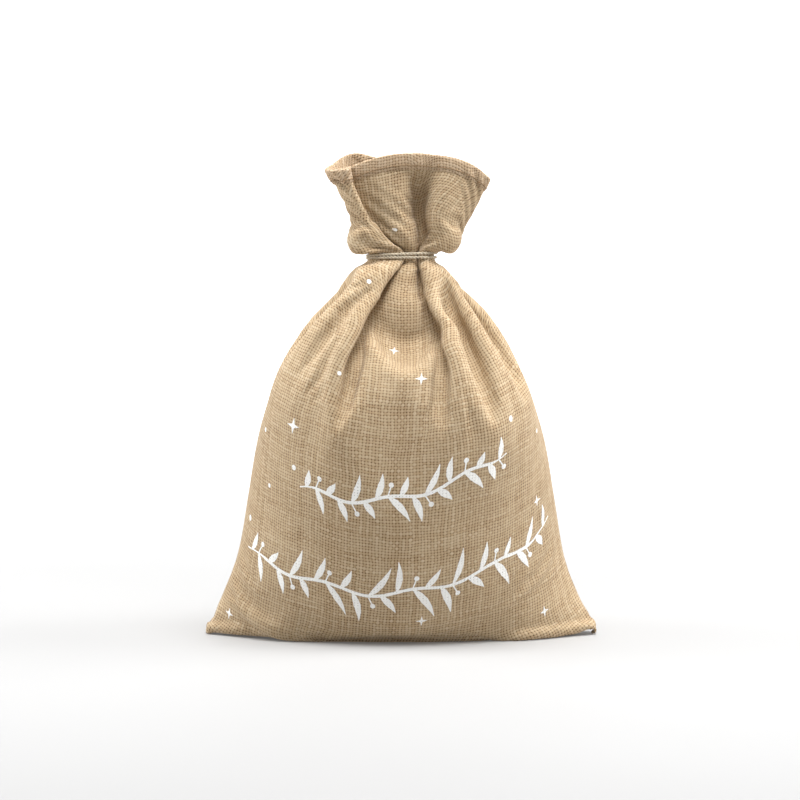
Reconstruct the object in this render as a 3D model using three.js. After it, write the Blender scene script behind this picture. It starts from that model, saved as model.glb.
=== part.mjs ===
// Fabric gift sack: two jute panels sewn at the sides and the bottom, filled, tied round the neck
// with a thin cord, and flaring into a hemmed ruff above the tie.
// Millimetres, +Z up, +X to the right of the printed front, which faces -Y.
// The origin is on the floor, under the middle of the sack.
import * as THREE from "three";

// Driving dimensions
const FLAT_WIDTH = 300; // the sack laid flat, seam to seam
const CORNER_PULL = 5; // how far the filling draws each bottom corner in
const DEPTH = 150; // front to back at the belly
const NECK_HEIGHT = 281; // floor to the middle of the tie
const HEIGHT = 358; // floor to the top of the ruff
const CLOTH = 1.5; // panel thickness, with its slubs and air
const CORD = 2.2; // diameter of the tie
const THREAD = 0.8; // diameter of the sewing thread
const GAP = 0.3; // left between neighbouring pieces

// The tied neck and the ruff
const NECK_HALF_WIDTH = 25;
const NECK_HALF_DEPTH = 14;
const NECK_FOOT = NECK_HEIGHT - 4;
const NECK_TOP = NECK_HEIGHT + 3.5;
const RUFF_BOTTOM = NECK_TOP + 5; // room for the ruff to tip fore and aft
const MOUTH_HALF_WIDTH = 60;
const MOUTH_HALF_DEPTH = 26;
const MOUTH_DROOP = 16; // how much lower the mouth is at its sides than in the middle
const HEM_SHARE = 0.15; // part of the ruff's height that the hem takes
const HEM_CLOTH = 2.4; // the cloth turned over once

// Outline of the filled body from the floor to the neck: height as a part of NECK_HEIGHT,
// half width as a part of the base's half width, half depth as a part of half of DEPTH.
const BODY_OUTLINE = [
  [0, 1, 0.6],
  [0.036, 0.985, 0.72],
  [0.107, 0.917, 0.85],
  [0.214, 0.838, 0.95],
  [0.374, 0.786, 0.995],
  [0.534, 0.724, 0.99],
  [0.683, 0.628, 0.91],
  [0.79, 0.522, 0.77],
  [0.89, 0.352, 0.52],
  [0.95, 0.243, 0.31],
];

// Outline of the ruff: height as a part of the way from its foot to the mouth, half width as a part
// of the mouth's, half depth as a part of the mouth's.
const RUFF_OUTLINE = [
  [0, 0.27, 0.4],
  [0.16, 0.52, 0.54],
  [0.4, 0.76, 0.7],
  [0.7, 0.92, 0.87],
  [1, 1, 1],
];

// Route of the right tail of the tie, from the knot down the back of the sack
const TAIL_ROUTE = [
  [3.4, 20.6, 275.2],
  [4.6, 24.6, 269],
  [6.3, 32, 260.5],
  [8.8, 41.6, 249],
  [12, 51, 235.5],
  [16, 58.5, 221],
  [20, 63.9, 206],
  [23.5, 67.3, 191],
  [26, 70.3, 177],
];

const BASE_HALF_WIDTH = FLAT_WIDTH / 2 - CORNER_PULL;
const HALF_DEPTH = DEPTH / 2;

const JUTE = { color: 0xb89468, roughness: 0.95 };
const HEM_JUTE = { color: 0xc4a078, roughness: 0.95 };
const CORD_COTTON = { color: 0xbdb09a, roughness: 0.85 };
const SEWING_THREAD = { color: 0xcbb188, roughness: 0.8 };
const TISSUE = { color: 0xe8e4da, roughness: 0.9 };

const sack = new THREE.Group();

function addPiece(name, geometry, look, turn = 0) {
  const piece = new THREE.Mesh(geometry, new THREE.MeshStandardMaterial({ metalness: 0, ...look }));
  piece.name = name;
  piece.rotation.z = turn;
  sack.add(piece);
}

// A geometry from points and triangles
function fromTriangles(points, triangles) {
  const geometry = new THREE.BufferGeometry();
  geometry.setAttribute("position", new THREE.Float32BufferAttribute(points.flat(), 3));
  geometry.setIndex(triangles.flat());
  geometry.computeVertexNormals();
  return geometry;
}

// A closed slab between two grids of the same size, outer and inner, each a list of rows
function thickSheet(outer, inner) {
  const rows = outer.length;
  const columns = outer[0].length;
  const points = [...outer.flat(), ...inner.flat()];
  const out = (row, column) => row * columns + column;
  const inside = (row, column) => rows * columns + row * columns + column;
  const triangles = [];
  const quad = (a, b, c, d) => triangles.push([a, b, c], [a, c, d]);
  for (let row = 0; row < rows - 1; row += 1) {
    for (let column = 0; column < columns - 1; column += 1) {
      quad(out(row, column), out(row, column + 1), out(row + 1, column + 1), out(row + 1, column));
      const [near, far] = [column, column + 1];
      quad(inside(row, near), inside(row + 1, near), inside(row + 1, far), inside(row, far));
    }
    const last = columns - 1;
    quad(out(row, 0), out(row + 1, 0), inside(row + 1, 0), inside(row, 0));
    quad(out(row, last), inside(row, last), inside(row + 1, last), out(row + 1, last));
  }
  for (let column = 0; column < columns - 1; column += 1) {
    const top = rows - 1;
    quad(out(0, column), inside(0, column), inside(0, column + 1), out(0, column + 1));
    quad(out(top, column), out(top, column + 1), inside(top, column + 1), inside(top, column));
  }
  return fromTriangles(points, triangles);
}

// A closed solid through a stack of rings, each running counter-clockwise seen from above
function loft(rings) {
  const count = rings[0].length;
  const points = rings.flat();
  const triangles = [];
  for (let ring = 0; ring < rings.length - 1; ring += 1) {
    for (let i = 0; i < count; i += 1) {
      const next = (i + 1) % count;
      const below = ring * count;
      const above = below + count;
      triangles.push([below + i, below + next, above + next], [below + i, above + next, above + i]);
    }
  }
  const foot = points.push(middle(rings[0])) - 1;
  const head = points.push(middle(rings[rings.length - 1])) - 1;
  const top = (rings.length - 1) * count;
  for (let i = 0; i < count; i += 1) {
    const next = (i + 1) % count;
    triangles.push([foot, next, i], [head, top + i, top + next]);
  }
  return fromTriangles(points, triangles);
}

function middle(ring) {
  const sum = ring.reduce((total, point) => total.map((value, axis) => value + point[axis]), [0, 0, 0]);
  return sum.map((value) => value / ring.length);
}

// Smooth curves through the outlines, as functions of 0 to 1
function outlineCurve(stations) {
  return new THREE.CatmullRomCurve3(stations.map(([z, width, depth]) => new THREE.Vector3(width, depth, z)));
}
const bodyCurve = outlineCurve(BODY_OUTLINE);
const ruffCurve = outlineCurve(RUFF_OUTLINE);

// Half width, half depth and height of the body at a share of its outline, from 0 to 1
function bodySection(share) {
  const station = bodyCurve.getPoint(share);
  return { width: station.x * BASE_HALF_WIDTH, depth: station.y * HALF_DEPTH, z: station.z * NECK_HEIGHT };
}

function ruffSection(share) {
  const station = ruffCurve.getPoint(share);
  const z = RUFF_BOTTOM + station.z * (HEIGHT - RUFF_BOTTOM);
  return { width: station.x * MOUTH_HALF_WIDTH, depth: station.y * MOUTH_HALF_DEPTH, z };
}

// How far a section bulges at an angle round it: pointed at the seams low down, round at the neck
function bulge(angle, z) {
  const roundness = THREE.MathUtils.lerp(0.95, 0.5, THREE.MathUtils.clamp(z / NECK_HEIGHT, 0, 1));
  return Math.max(1 - Math.cos(angle) ** 2, 0) ** roundness;
}

const PANEL_COLUMNS = 26;
const PANEL_ROWS = 17;
const SEAM_LIP = 0.9; // half of the two plies at a seam

// Angles from the left seam round the front to the right seam
function frontAngles(columns) {
  return Array.from({ length: columns + 1 }, (_, i) => Math.PI + (i / columns) * Math.PI);
}

// One row of the front half of a section, `inset` mm inside it and `lip` mm off the middle plane
function frontRow({ width, depth, z }, columns, inset, lip) {
  return frontAngles(columns).map((angle) => [
    (width - inset * 1.6) * Math.cos(angle),
    -(GAP / 2 + lip + (depth - inset - lip) * bulge(angle, z)),
    z,
  ]);
}

// A row flattened on to the middle plane, where the two panels meet
function flatRow({ width, z }, columns, inset) {
  return frontAngles(columns).map((angle) => [(width - inset * 1.6) * Math.cos(angle), -GAP / 2, z]);
}

// Rows of the front panel's outer face: the bottom seam, the underside's edge, the body, the neck
function panelOuterRows() {
  const rows = [flatRow(bodySection(0), PANEL_COLUMNS, 0)];
  for (let row = 0; row <= PANEL_ROWS; row += 1) {
    rows.push(frontRow(bodySection(row / PANEL_ROWS), PANEL_COLUMNS, 0, SEAM_LIP));
  }
  for (const z of [NECK_FOOT, NECK_TOP]) {
    const neck = { width: NECK_HALF_WIDTH, depth: NECK_HALF_DEPTH, z };
    rows.push(frontRow(neck, PANEL_COLUMNS, 0, GAP));
  }
  return rows;
}

// The inner face follows the outer one, and closes on itself in the gathered neck
function panelInnerRows() {
  const raise = ({ width, depth, z }) => ({ width, depth, z: Math.max(z, CLOTH) });
  const rows = [flatRow(raise(bodySection(0)), PANEL_COLUMNS, CLOTH)];
  const lastOpen = PANEL_ROWS - 2;
  for (let row = 0; row <= PANEL_ROWS; row += 1) {
    const section = raise(bodySection(row / PANEL_ROWS));
    const open = row <= lastOpen;
    rows.push(open ? frontRow(section, PANEL_COLUMNS, CLOTH, GAP) : flatRow(section, PANEL_COLUMNS, CLOTH));
  }
  for (const z of [NECK_FOOT, NECK_TOP]) {
    rows.push(flatRow({ width: NECK_HALF_WIDTH, z }, PANEL_COLUMNS, CLOTH));
  }
  return rows;
}

function addPanels() {
  const panel = thickSheet(panelOuterRows(), panelInnerRows());
  addPiece("front_panel", panel, JUTE);
  addPiece("back_panel", panel, JUTE, Math.PI);
}

// One row round the front half of the ruff, `offset` mm outside its outline
function ruffRow(share, columns, offset) {
  const { width, depth, z } = ruffSection(share);
  return frontAngles(columns).map((angle) => [
    (width + offset) * Math.cos(angle),
    -(GAP / 2 + (depth + offset - GAP) * Math.abs(Math.sin(angle)) + GAP),
    z - MOUTH_DROOP * share * Math.cos(angle) ** 2,
  ]);
}

function ruffBand(from, to, rows, columns, outside, inside) {
  const shares = Array.from({ length: rows + 1 }, (_, i) => THREE.MathUtils.lerp(from, to, i / rows));
  return thickSheet(
    shares.map((share) => ruffRow(share, columns, outside)),
    shares.map((share) => ruffRow(share, columns, inside)),
  );
}

function addRuff() {
  const columns = 22;
  const hemFoot = 1 - HEM_SHARE;
  const slit = GAP / (HEIGHT - RUFF_BOTTOM);
  const ruff = ruffBand(0, hemFoot - slit, 6, columns, 0, -CLOTH);
  addPiece("front_ruff", ruff, JUTE);
  addPiece("back_ruff", ruff, JUTE, Math.PI);
  const proud = (HEM_CLOTH - CLOTH) / 2;
  const hem = ruffBand(hemFoot, 1, 1, columns, proud, proud - HEM_CLOTH);
  addPiece("front_hem", hem, HEM_JUTE);
  addPiece("back_hem", hem, HEM_JUTE, Math.PI);
}

// A round strand of some diameter along a curve, as one closed solid
function strand(curve, diameter, steps, sides) {
  const section = new THREE.Shape();
  section.absarc(0, 0, diameter / 2, 0, 2 * Math.PI);
  const curveSegments = sides / 2;
  const settings = { steps, curveSegments, bevelEnabled: false, extrudePath: curve };
  return new THREE.ExtrudeGeometry(section, settings);
}

function curveThrough(points) {
  return new THREE.CatmullRomCurve3(points.map((point) => new THREE.Vector3(...point)));
}

// The hem's sewing thread runs along its outside, a little above its lower edge
function addHemStitching() {
  const share = 1 - HEM_SHARE * 0.8;
  const proud = (HEM_CLOTH - CLOTH) / 2 + GAP + THREAD / 2;
  const line = ruffRow(share, 22, proud).slice(1, -1);
  const thread = strand(curveThrough(line), THREAD, 30, 6);
  addPiece("front_hem_stitching", thread, SEWING_THREAD);
  addPiece("back_hem_stitching", thread, SEWING_THREAD, Math.PI);
}

// The seam allowances are strips inside the sack: the two plies' edges, sewn together
const ALLOWANCE = 9;
const ALLOWANCE_PLIES = 1.8;

// Points up the inside of the right side seam, `inset` mm in from the outline
function sideLine(inset, shares) {
  return shares.map((share) => {
    const { width, z } = bodySection(share);
    return [width - inset, z];
  });
}

function sideAllowance() {
  const shares = [0.16, 0.24, 0.32, 0.4, 0.48, 0.56, 0.64, 0.72, 0.78];
  const outerEdge = sideLine(CLOTH * 3, shares);
  const innerEdge = sideLine(CLOTH * 3 + ALLOWANCE, shares).reverse();
  const outline = [...outerEdge, ...innerEdge].map((point) => new THREE.Vector2(...point));
  const plies = { depth: ALLOWANCE_PLIES, bevelEnabled: false };
  const strip = new THREE.ExtrudeGeometry(new THREE.Shape(outline), plies);
  return strip.translate(0, 0, -ALLOWANCE_PLIES / 2).rotateX(Math.PI / 2);
}

function sideStitching() {
  const shares = [0.18, 0.3, 0.42, 0.54, 0.66, 0.76];
  const away = ALLOWANCE_PLIES / 2 + GAP + THREAD / 2;
  const line = sideLine(CLOTH * 3 + ALLOWANCE * 0.3, shares).map(([x, z]) => [x, -away, z]);
  return strand(curveThrough(line), THREAD, 20, 6);
}

function addSeams() {
  const allowance = sideAllowance();
  const stitches = sideStitching();
  addPiece("right_seam_allowance", allowance, HEM_JUTE);
  addPiece("left_seam_allowance", allowance, HEM_JUTE, Math.PI);
  addPiece("right_seam_stitching", stitches, SEWING_THREAD);
  addPiece("left_seam_stitching", stitches, SEWING_THREAD, Math.PI);
  const length = 2 * BASE_HALF_WIDTH - 4 * ALLOWANCE;
  const lift = CLOTH + GAP + ALLOWANCE_PLIES / 2;
  const bottom = new THREE.BoxGeometry(length, ALLOWANCE, ALLOWANCE_PLIES).translate(0, 0, lift);
  addPiece("bottom_seam_allowance", bottom, HEM_JUTE);
  const above = lift + ALLOWANCE_PLIES / 2 + GAP + THREAD / 2;
  const line = curveThrough([[-length / 2, 0, above], [length / 2, 0, above]]);
  addPiece("bottom_seam_stitching", strand(line, THREAD, 1, 6), SEWING_THREAD);
}

// The filling is one soft lump that stops short of the seams
function addFilling() {
  const sideRoom = CLOTH * 3 + ALLOWANCE + GAP * 3;
  const footRoom = CLOTH + ALLOWANCE_PLIES + THREAD + GAP * 4;
  const room = CLOTH + GAP * 1.5;
  const rings = [];
  const count = 36;
  for (let row = 1; row <= 14; row += 1) {
    const { width, depth, z } = bodySection((row / 14) * 0.86);
    const ring = Array.from({ length: count }, (_, i) => {
      const angle = (i / count) * 2 * Math.PI;
      const y = Math.sign(Math.sin(angle)) * (depth - room - SEAM_LIP) * bulge(angle, z);
      return [(width - sideRoom) * Math.cos(angle), y, Math.max(z, footRoom)];
    });
    rings.push(ring);
  }
  addPiece("tissue_filling", loft(rings), TISSUE);
}

// The cord goes twice round the neck; both ends reach the knot at the back
const TURNS = 2;
const TURN_PITCH = CORD + GAP;
const KNOT_ANGLE = 0.26; // how far from the middle of the back the turns begin and end

class NeckTurns extends THREE.Curve {
  getPoint(share, target = new THREE.Vector3()) {
    const sweep = TURNS * 2 * Math.PI - 2 * KNOT_ANGLE;
    const angle = Math.PI / 2 + KNOT_ANGLE + share * sweep;
    const away = GAP * 2 + CORD / 2;
    const rise = (share - 0.5) * TURNS * TURN_PITCH;
    const x = (NECK_HALF_WIDTH + away) * Math.cos(angle);
    const y = (NECK_HALF_DEPTH + away + GAP / 2) * Math.sin(angle);
    return target.set(x, y, NECK_HEIGHT + rise);
  }
}

function addTie() {
  addPiece("neck_tie", strand(new NeckTurns(), CORD, 72, 8), CORD_COTTON);
  const knotDepth = 2.9;
  const knot = new THREE.SphereGeometry(1, 16, 10).scale(5.4, knotDepth, 4.2);
  const knotY = NECK_HALF_DEPTH + CORD + knotDepth + GAP * 4;
  addPiece("tie_knot", knot.translate(0, knotY, NECK_HEIGHT), CORD_COTTON);
  for (const [name, side] of [["right", 1], ["left", -1]]) {
    const route = curveThrough(TAIL_ROUTE.map(([x, y, z]) => [side * x, y, z]));
    addPiece(`${name}_tail`, strand(route, CORD, 20, 8), CORD_COTTON);
    const end = route.getPoint(1);
    const along = route.getTangent(1);
    const endKnot = new THREE.SphereGeometry(2.6, 10, 8);
    const centre = end.addScaledVector(along, 2.6 + GAP);
    addPiece(`${name}_tail_knot`, endKnot.translate(...centre.toArray()), CORD_COTTON);
  }
}

addPanels();
addRuff();
addHemStitching();
addSeams();
addFilling();
addTie();

export default sack;
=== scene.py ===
"""A filled jute gift sack, tied round the neck with a thin cord, on a pale studio floor.

The cloth is two flat panels, sewn together at the sides and along the bottom. Each is a grid of
points that starts as a gathered sack and is then relaxed as cloth over its filling. Lengths are in
metres, in the CAD model's own frame, except where a comment says millimetres.
"""

import math

import bpy
import numpy as np
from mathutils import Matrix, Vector


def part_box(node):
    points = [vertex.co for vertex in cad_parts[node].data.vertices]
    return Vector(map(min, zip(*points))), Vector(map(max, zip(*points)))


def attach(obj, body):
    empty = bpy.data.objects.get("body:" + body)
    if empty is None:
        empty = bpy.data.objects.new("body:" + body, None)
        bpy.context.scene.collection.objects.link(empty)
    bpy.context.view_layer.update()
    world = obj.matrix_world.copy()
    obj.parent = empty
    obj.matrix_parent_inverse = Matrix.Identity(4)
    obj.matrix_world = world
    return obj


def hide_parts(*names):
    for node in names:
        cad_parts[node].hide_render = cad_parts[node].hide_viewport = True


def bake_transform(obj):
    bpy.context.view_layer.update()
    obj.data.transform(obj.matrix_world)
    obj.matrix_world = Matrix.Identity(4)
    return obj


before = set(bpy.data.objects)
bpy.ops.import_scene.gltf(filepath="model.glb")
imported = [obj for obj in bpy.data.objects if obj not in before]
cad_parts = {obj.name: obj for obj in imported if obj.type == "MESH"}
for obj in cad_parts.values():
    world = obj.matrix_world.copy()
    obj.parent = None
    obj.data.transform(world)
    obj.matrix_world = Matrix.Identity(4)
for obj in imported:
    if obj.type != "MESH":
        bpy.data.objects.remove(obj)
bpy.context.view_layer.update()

MM = 0.001

# ---- The cloth as it is cut ----
CLOTH_WIDTH = 300 * MM
CLOTH_LENGTH = 432 * MM
HEM_WIDTH = 10.5 * MM
CLOTH_THICK = 0.9 * MM
WARP_PITCH = 2.31 * MM
WEFT_PITCH = 2.12 * MM
COLUMNS = 100
ROWS = 144
TIE_ROW = 116
FINE_COLUMNS = 150
FINE_ROWS = 216
HEM_ROWS = int(round(HEM_WIDTH / CLOTH_LENGTH * FINE_ROWS)) + 1

# ---- The sack as it stands ----
NECK_HEIGHT = 281 * MM
TIE_PINCH = 0.95
TIED_HALF = 1.9 * MM  # Half the height of the band of cloth under the tie.
RUFF_START = 3 * MM  # How far above the tie's middle the ruff opens.
FLOOR_GAP = 0.6 * MM  # How far the middle of the cloth stays off the floor.
CONTACT_GAP = 2.4 * MM  # How far apart two folds of the cloth are kept.
CORD_DIAMETER = 2.2 * MM
PLIES = 2
PLY_SHARE = 0.54  # A ply's diameter as a share of the cord's.
# Height, half width and half depth of the filled sack.
BODY = np.array([
    (0, 145, 45), (10, 143, 54), (30, 133, 64), (60, 121.5, 71), (105, 114, 75), (150, 105, 74),
    (192, 92, 68.5), (222, 77, 58), (250, 54, 40), (267, 40, 26), (273, 34, 20), (277, 25, 13.5),
]) * MM
# The pleats at the tie, seen from above: millimetres across the flat cloth, then x and y.
NECK_FRONT = [
    (0, -21, 7), (8, -25, 3.5), (16, -25.5, -1), (21, -22.5, -2.5), (28, -23.5, -6.5),
    (42, -17.5, -11), (58, -10, -13), (72, -2, -13.8), (84, 3.2, -13), (88, 3.6, -11),
    (94, 0, -8.5), (102, -6, -6.5), (106, -6, -5), (112, -2, -5.5), (124, 2.5, -8.5),
    (138, 6.5, -10.8), (150, 10.4, -10), (158, 11.6, -6), (168, 12, 0), (174, 13, 1),
    (184, 13.8, -4), (194, 15.2, -9.8), (210, 19.5, -9.8), (228, 24, -5.5), (246, 26, 0),
    (264, 24, 5), (282, 20, 4), (300, 17, 8),
]
NECK_BACK = [
    (0, -21, 7), (14, -18, 10), (28, -14, 11.2), (44, -12, 5), (52, -10.5, 2.5), (60, -9, 5),
    (74, -7.5, 12), (100, -1, 13.2), (124, 5, 12.6), (140, 6.3, 6), (150, 7.3, 2.5),
    (160, 8.5, 6), (176, 10, 11.8), (210, 13, 11), (228, 13.6, 6), (240, 14.4, 3.5),
    (252, 15.4, 6), (276, 16.2, 9.6), (300, 17, 8),
]
# The same pleats at the open mouth, with the height of the hem as well.
MOUTH_FRONT = [
    (0, -50, 8, 348), (10, -55, 3, 346), (20, -57.5, -3, 344.5), (32, -52, -10, 343.5),
    (44, -44, -13, 343), (54, -38.5, -13.5, 343), (60, -37.5, -10.5, 343.5),
    (74, -43, -6.5, 344.5), (88, -48, -3, 345.5), (96, -44, 0.5, 346), (110, -36, -3, 346.5),
    (128, -20, -8, 352), (148, -2, -12, 355.5), (164, 12, -11, 355.5), (184, 24, -9, 354.5),
    (204, 36, -12, 353), (226, 48, -10, 350), (250, 58, -5.5, 344), (272, 65, -0.5, 337.5),
    (286, 64, 5, 337), (300, 58, 10, 340),
]
MOUTH_BACK = [
    (0, -50, 8, 348), (18, -44, 14, 354.5), (32, -38, 16.5, 357), (50, -30, 15, 357.5),
    (74, -19, 13, 353), (92, -12, 19, 352), (112, -4, 25, 352), (132, 3, 20, 351),
    (150, 7, 13.5, 351), (168, 14, 13.5, 350.5), (188, 23, 21, 350), (208, 33, 23.5, 349),
    (228, 38, 16, 348), (244, 42, 11.5, 347), (262, 49, 12, 345), (282, 54, 15, 342),
    (300, 58, 10, 340),
]

# The way that the right tail hangs from the knot down the back. The left one mirrors it.
TAIL_ROUTE = [
    (3.4, 20.6, 275.2), (4.6, 24.6, 269), (6.3, 32, 260.5), (8.8, 41.6, 249), (12, 51, 235.5),
    (16, 58.5, 221), (20, 63.9, 206), (23.5, 67.3, 191), (26, 70.3, 177),
]

FRONT, BACK = 0, 1
# Each column's place across the flat cloth, from -1 to 1 and in millimetres.
across = np.linspace(-1, 1, COLUMNS + 1)
flat_mm = np.linspace(0, CLOTH_WIDTH / MM, COLUMNS + 1)
# How far up the flat cloth the tie sits: less at the side seams, where the way up is shorter.
tie_length = np.tile(0.347 - 0.024 * across**4 - 0.006 * across**2, (2, 1))
tie_length[FRONT] += 0.011 * np.exp(-((across + 0.06) / 0.34) ** 2)
row_below = tie_length / TIE_ROW


# ---- Small helpers ----
def smoothstep(t):
    t = np.clip(t, 0, 1)
    return t * t * (3 - 2 * t)


def monotone(x, xs, ys):
    """A smooth curve through (xs, ys) that never overshoots them, at x."""
    x = np.clip(x, xs[0], xs[-1])
    h = np.diff(xs)
    d = np.diff(ys) / h
    m = np.zeros(len(xs))
    m[0], m[-1] = d[0], d[-1]
    w1, w2 = 2 * h[1:] + h[:-1], h[1:] + 2 * h[:-1]
    with np.errstate(divide="ignore", invalid="ignore"):
        m[1:-1] = np.where(d[:-1] * d[1:] > 0, (w1 + w2) / (w1 / d[:-1] + w2 / d[1:]), 0)
    k = np.clip(np.searchsorted(xs, x) - 1, 0, len(xs) - 2)
    t = (x - xs[k]) / h[k]
    return ((1 + 2 * t) * (1 - t) ** 2 * ys[k] + t * (1 - t) ** 2 * h[k] * m[k]
            + t * t * (3 - 2 * t) * ys[k + 1] + t * t * (t - 1) * h[k] * m[k + 1])


def half_width(z):
    return monotone(z, BODY[:, 0], BODY[:, 1])


def half_depth(z):
    return monotone(z, BODY[:, 0], BODY[:, 2])


def roundness(z):
    return 0.92 - 0.42 * np.clip(z / 0.12, 0, 1)


def unit(v):
    return v / (np.linalg.norm(v, axis=-1, keepdims=True) + 1e-12)


def catmull(points, t):
    """A smooth curve through the rows of points, at the row numbers t."""
    p = np.concatenate([2 * points[:1] - points[1:2], points, 2 * points[-1:] - points[-2:-1]])
    k = np.clip(np.floor(t).astype(int), 0, len(points) - 2)
    f = (t - k).reshape((-1,) + (1,) * (points.ndim - 1))
    a, b, c, d = p[k], p[k + 1], p[k + 2], p[k + 3]
    return 0.5 * (2 * b + (c - a) * f + (2 * a - 5 * b + 4 * c - d) * f**2
                  + (3 * b - a - 3 * c + d) * f**3)


def travel(points):
    """How far along its points each point of a curve is."""
    return np.concatenate([[0], np.cumsum(np.linalg.norm(np.diff(points, axis=0), axis=1))])


def even(points, count):
    """The curve through points as count points, evenly spaced along it."""
    dense = catmull(np.asarray(points, float), np.linspace(0, len(points) - 1, len(points) * 24))
    s = travel(dense)
    q = np.linspace(0, s[-1], count)
    return np.stack([np.interp(q, s, dense[:, c]) for c in range(3)], 1)


def dress(obj, material, nodes, body=None):
    """Gives a piece its material, hides the CAD nodes that it stands for and attaches it to the body it
    moves with.
    """
    obj.data.materials.append(material)
    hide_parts(*nodes)
    if body:
        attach(obj, body)


def mesh_object(name, verts, faces, uv=None):
    """A mesh object from points and faces, with the point uv as its map named weave."""
    mesh = bpy.data.meshes.new(name)
    mesh.from_pydata(np.asarray(verts).tolist(), [], [tuple(map(int, f)) for f in faces])
    mesh.polygons.foreach_set("use_smooth", np.ones(len(mesh.polygons), bool))
    if uv is not None:
        corner = np.empty(len(mesh.loops), np.int32)
        mesh.loops.foreach_get("vertex_index", corner)
        layer = mesh.uv_layers.new(name="weave")
        layer.data.foreach_set("uv", np.asarray(uv, np.float32)[corner].ravel())
    mesh.validate()
    obj = bpy.data.objects.new(name, mesh)
    bpy.context.scene.collection.objects.link(obj)
    return obj


def grid_faces(rows, columns, start=0, flip=False):
    """Four-cornered faces for rows × columns points, numbered from start."""
    n = np.arange(rows * columns).reshape(rows, columns) + start
    faces = np.stack([n[:-1, :-1], n[:-1, 1:], n[1:, 1:], n[1:, :-1]], -1).reshape(-1, 4)
    return faces[:, ::-1] if flip else faces


def shell(name, outer, inner, uv, flip=False):
    """A closed sheet between two grids of points that lie face to face."""
    rows, columns = outer.shape[:2]
    size = rows * columns
    index = np.arange(size).reshape(rows, columns)
    rim = np.concatenate([index[0, :-1], index[:-1, -1], index[-1, :0:-1], index[:0:-1, 0]])
    ahead = np.roll(rim, -1)
    side = np.stack([rim, rim + size, ahead + size, ahead], 1)
    faces = [grid_faces(rows, columns, 0, flip), grid_faces(rows, columns, size, not flip),
             side[:, ::-1] if flip else side]
    return mesh_object(name, np.concatenate([outer.reshape(-1, 3), inner.reshape(-1, 3)]),
                       np.concatenate(faces), np.concatenate([uv.reshape(-1, 2)] * 2))


class Parts:
    """Collects many small surfaces into one mesh."""

    def __init__(self):
        self.verts, self.faces, self.uvs, self.count = [], [], [], 0

    def add(self, verts, faces, uv):
        self.verts.append(np.asarray(verts, float).reshape(-1, 3))
        self.uvs.append(np.asarray(uv, float).reshape(-1, 2))
        self.faces += [tuple(int(i) + self.count for i in f) for f in faces]
        self.count += len(self.verts[-1])

    def build(self, name):
        return mesh_object(name, np.concatenate(self.verts), self.faces, np.concatenate(self.uvs))


def frames_along(path):
    """The direction of a path and two directions square to it, without twist, at each point."""
    t = unit(np.gradient(path, axis=0))
    n = np.empty_like(t)
    first = np.array([0.0, 0, 1]) if abs(t[0, 2]) < 0.8 else np.array([1.0, 0, 0])
    n[0] = unit(first - t[0] * (first @ t[0]))
    for k in range(1, len(t)):
        n[k] = unit(n[k - 1] - t[k] * (n[k - 1] @ t[k]))
    return t, n, np.cross(t, n)


def tube(parts, path, radius, sides=8):
    """A round tube with closed ends along path. radius is a number or one number per point."""
    path = np.asarray(path, float)
    t, n, b = frames_along(path)
    r = np.broadcast_to(radius, (len(path),))
    angle = np.linspace(0, 2 * math.pi, sides, endpoint=False)
    ring = n[:, None] * np.cos(angle)[None, :, None] + b[:, None] * np.sin(angle)[None, :, None]
    verts = path[:, None] + ring * r[:, None, None]
    s = travel(path)
    uv = np.stack(np.broadcast_arrays(s[:, None] / MM, angle[None] / (2 * math.pi)), -1)
    count = len(path)
    faces = []
    for k in range(count - 1):
        for a in range(sides):
            c = (a + 1) % sides
            faces.append((k * sides + a, k * sides + c, (k + 1) * sides + c, (k + 1) * sides + a))
    last = count * sides
    for a in range(sides):
        c = (a + 1) % sides
        faces.append((last, c, a))
        faces.append((last + 1, (count - 1) * sides + a, (count - 1) * sides + c))
    ends = np.stack([path[0] - t[0] * r[0] * 0.5, path[-1] + t[-1] * r[-1] * 0.5])
    parts.add(np.concatenate([verts.reshape(-1, 3), ends]), faces,
              np.concatenate([uv.reshape(-1, 2), [(0, 0.5), (s[-1] / MM, 0.5)]]))


def twisted(parts, path, diameter, lay=5.2 * MM):
    """A cord of twisted plies along path, one turn to each lay."""
    _, n, b = frames_along(path)
    s = travel(path)
    ply = diameter * PLY_SHARE / 2
    swing = diameter / 2 - ply
    for k in range(PLIES):
        a = (s / lay + k / PLIES) * 2 * math.pi
        line = path + swing * (n * np.cos(a)[:, None] + b * np.sin(a)[:, None])
        wobble = 1 + 0.07 * np.sin(s / (1.9 * MM) + 2.1 * k) * np.sin(s / (7.3 * MM) + k)
        tube(parts, line, ply * wobble)


# ---- Camera ----
CAMERA_DISTANCE = 1.65
CAMERA_ELEVATION = math.radians(3.3)
CAMERA_TARGET = Vector((-0.0007, 0, 0.1745))


def make_camera():
    data = bpy.data.cameras.new("camera")
    data.sensor_width = 36
    data.lens = 100
    camera = bpy.data.objects.new("camera", data)
    bpy.context.scene.collection.objects.link(camera)
    away = Vector((0, -math.cos(CAMERA_ELEVATION), math.sin(CAMERA_ELEVATION)))
    camera.location = CAMERA_TARGET + away * CAMERA_DISTANCE
    camera.rotation_euler = (-away).to_track_quat("-Z", "Y").to_euler()
    bpy.context.scene.camera = camera


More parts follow.
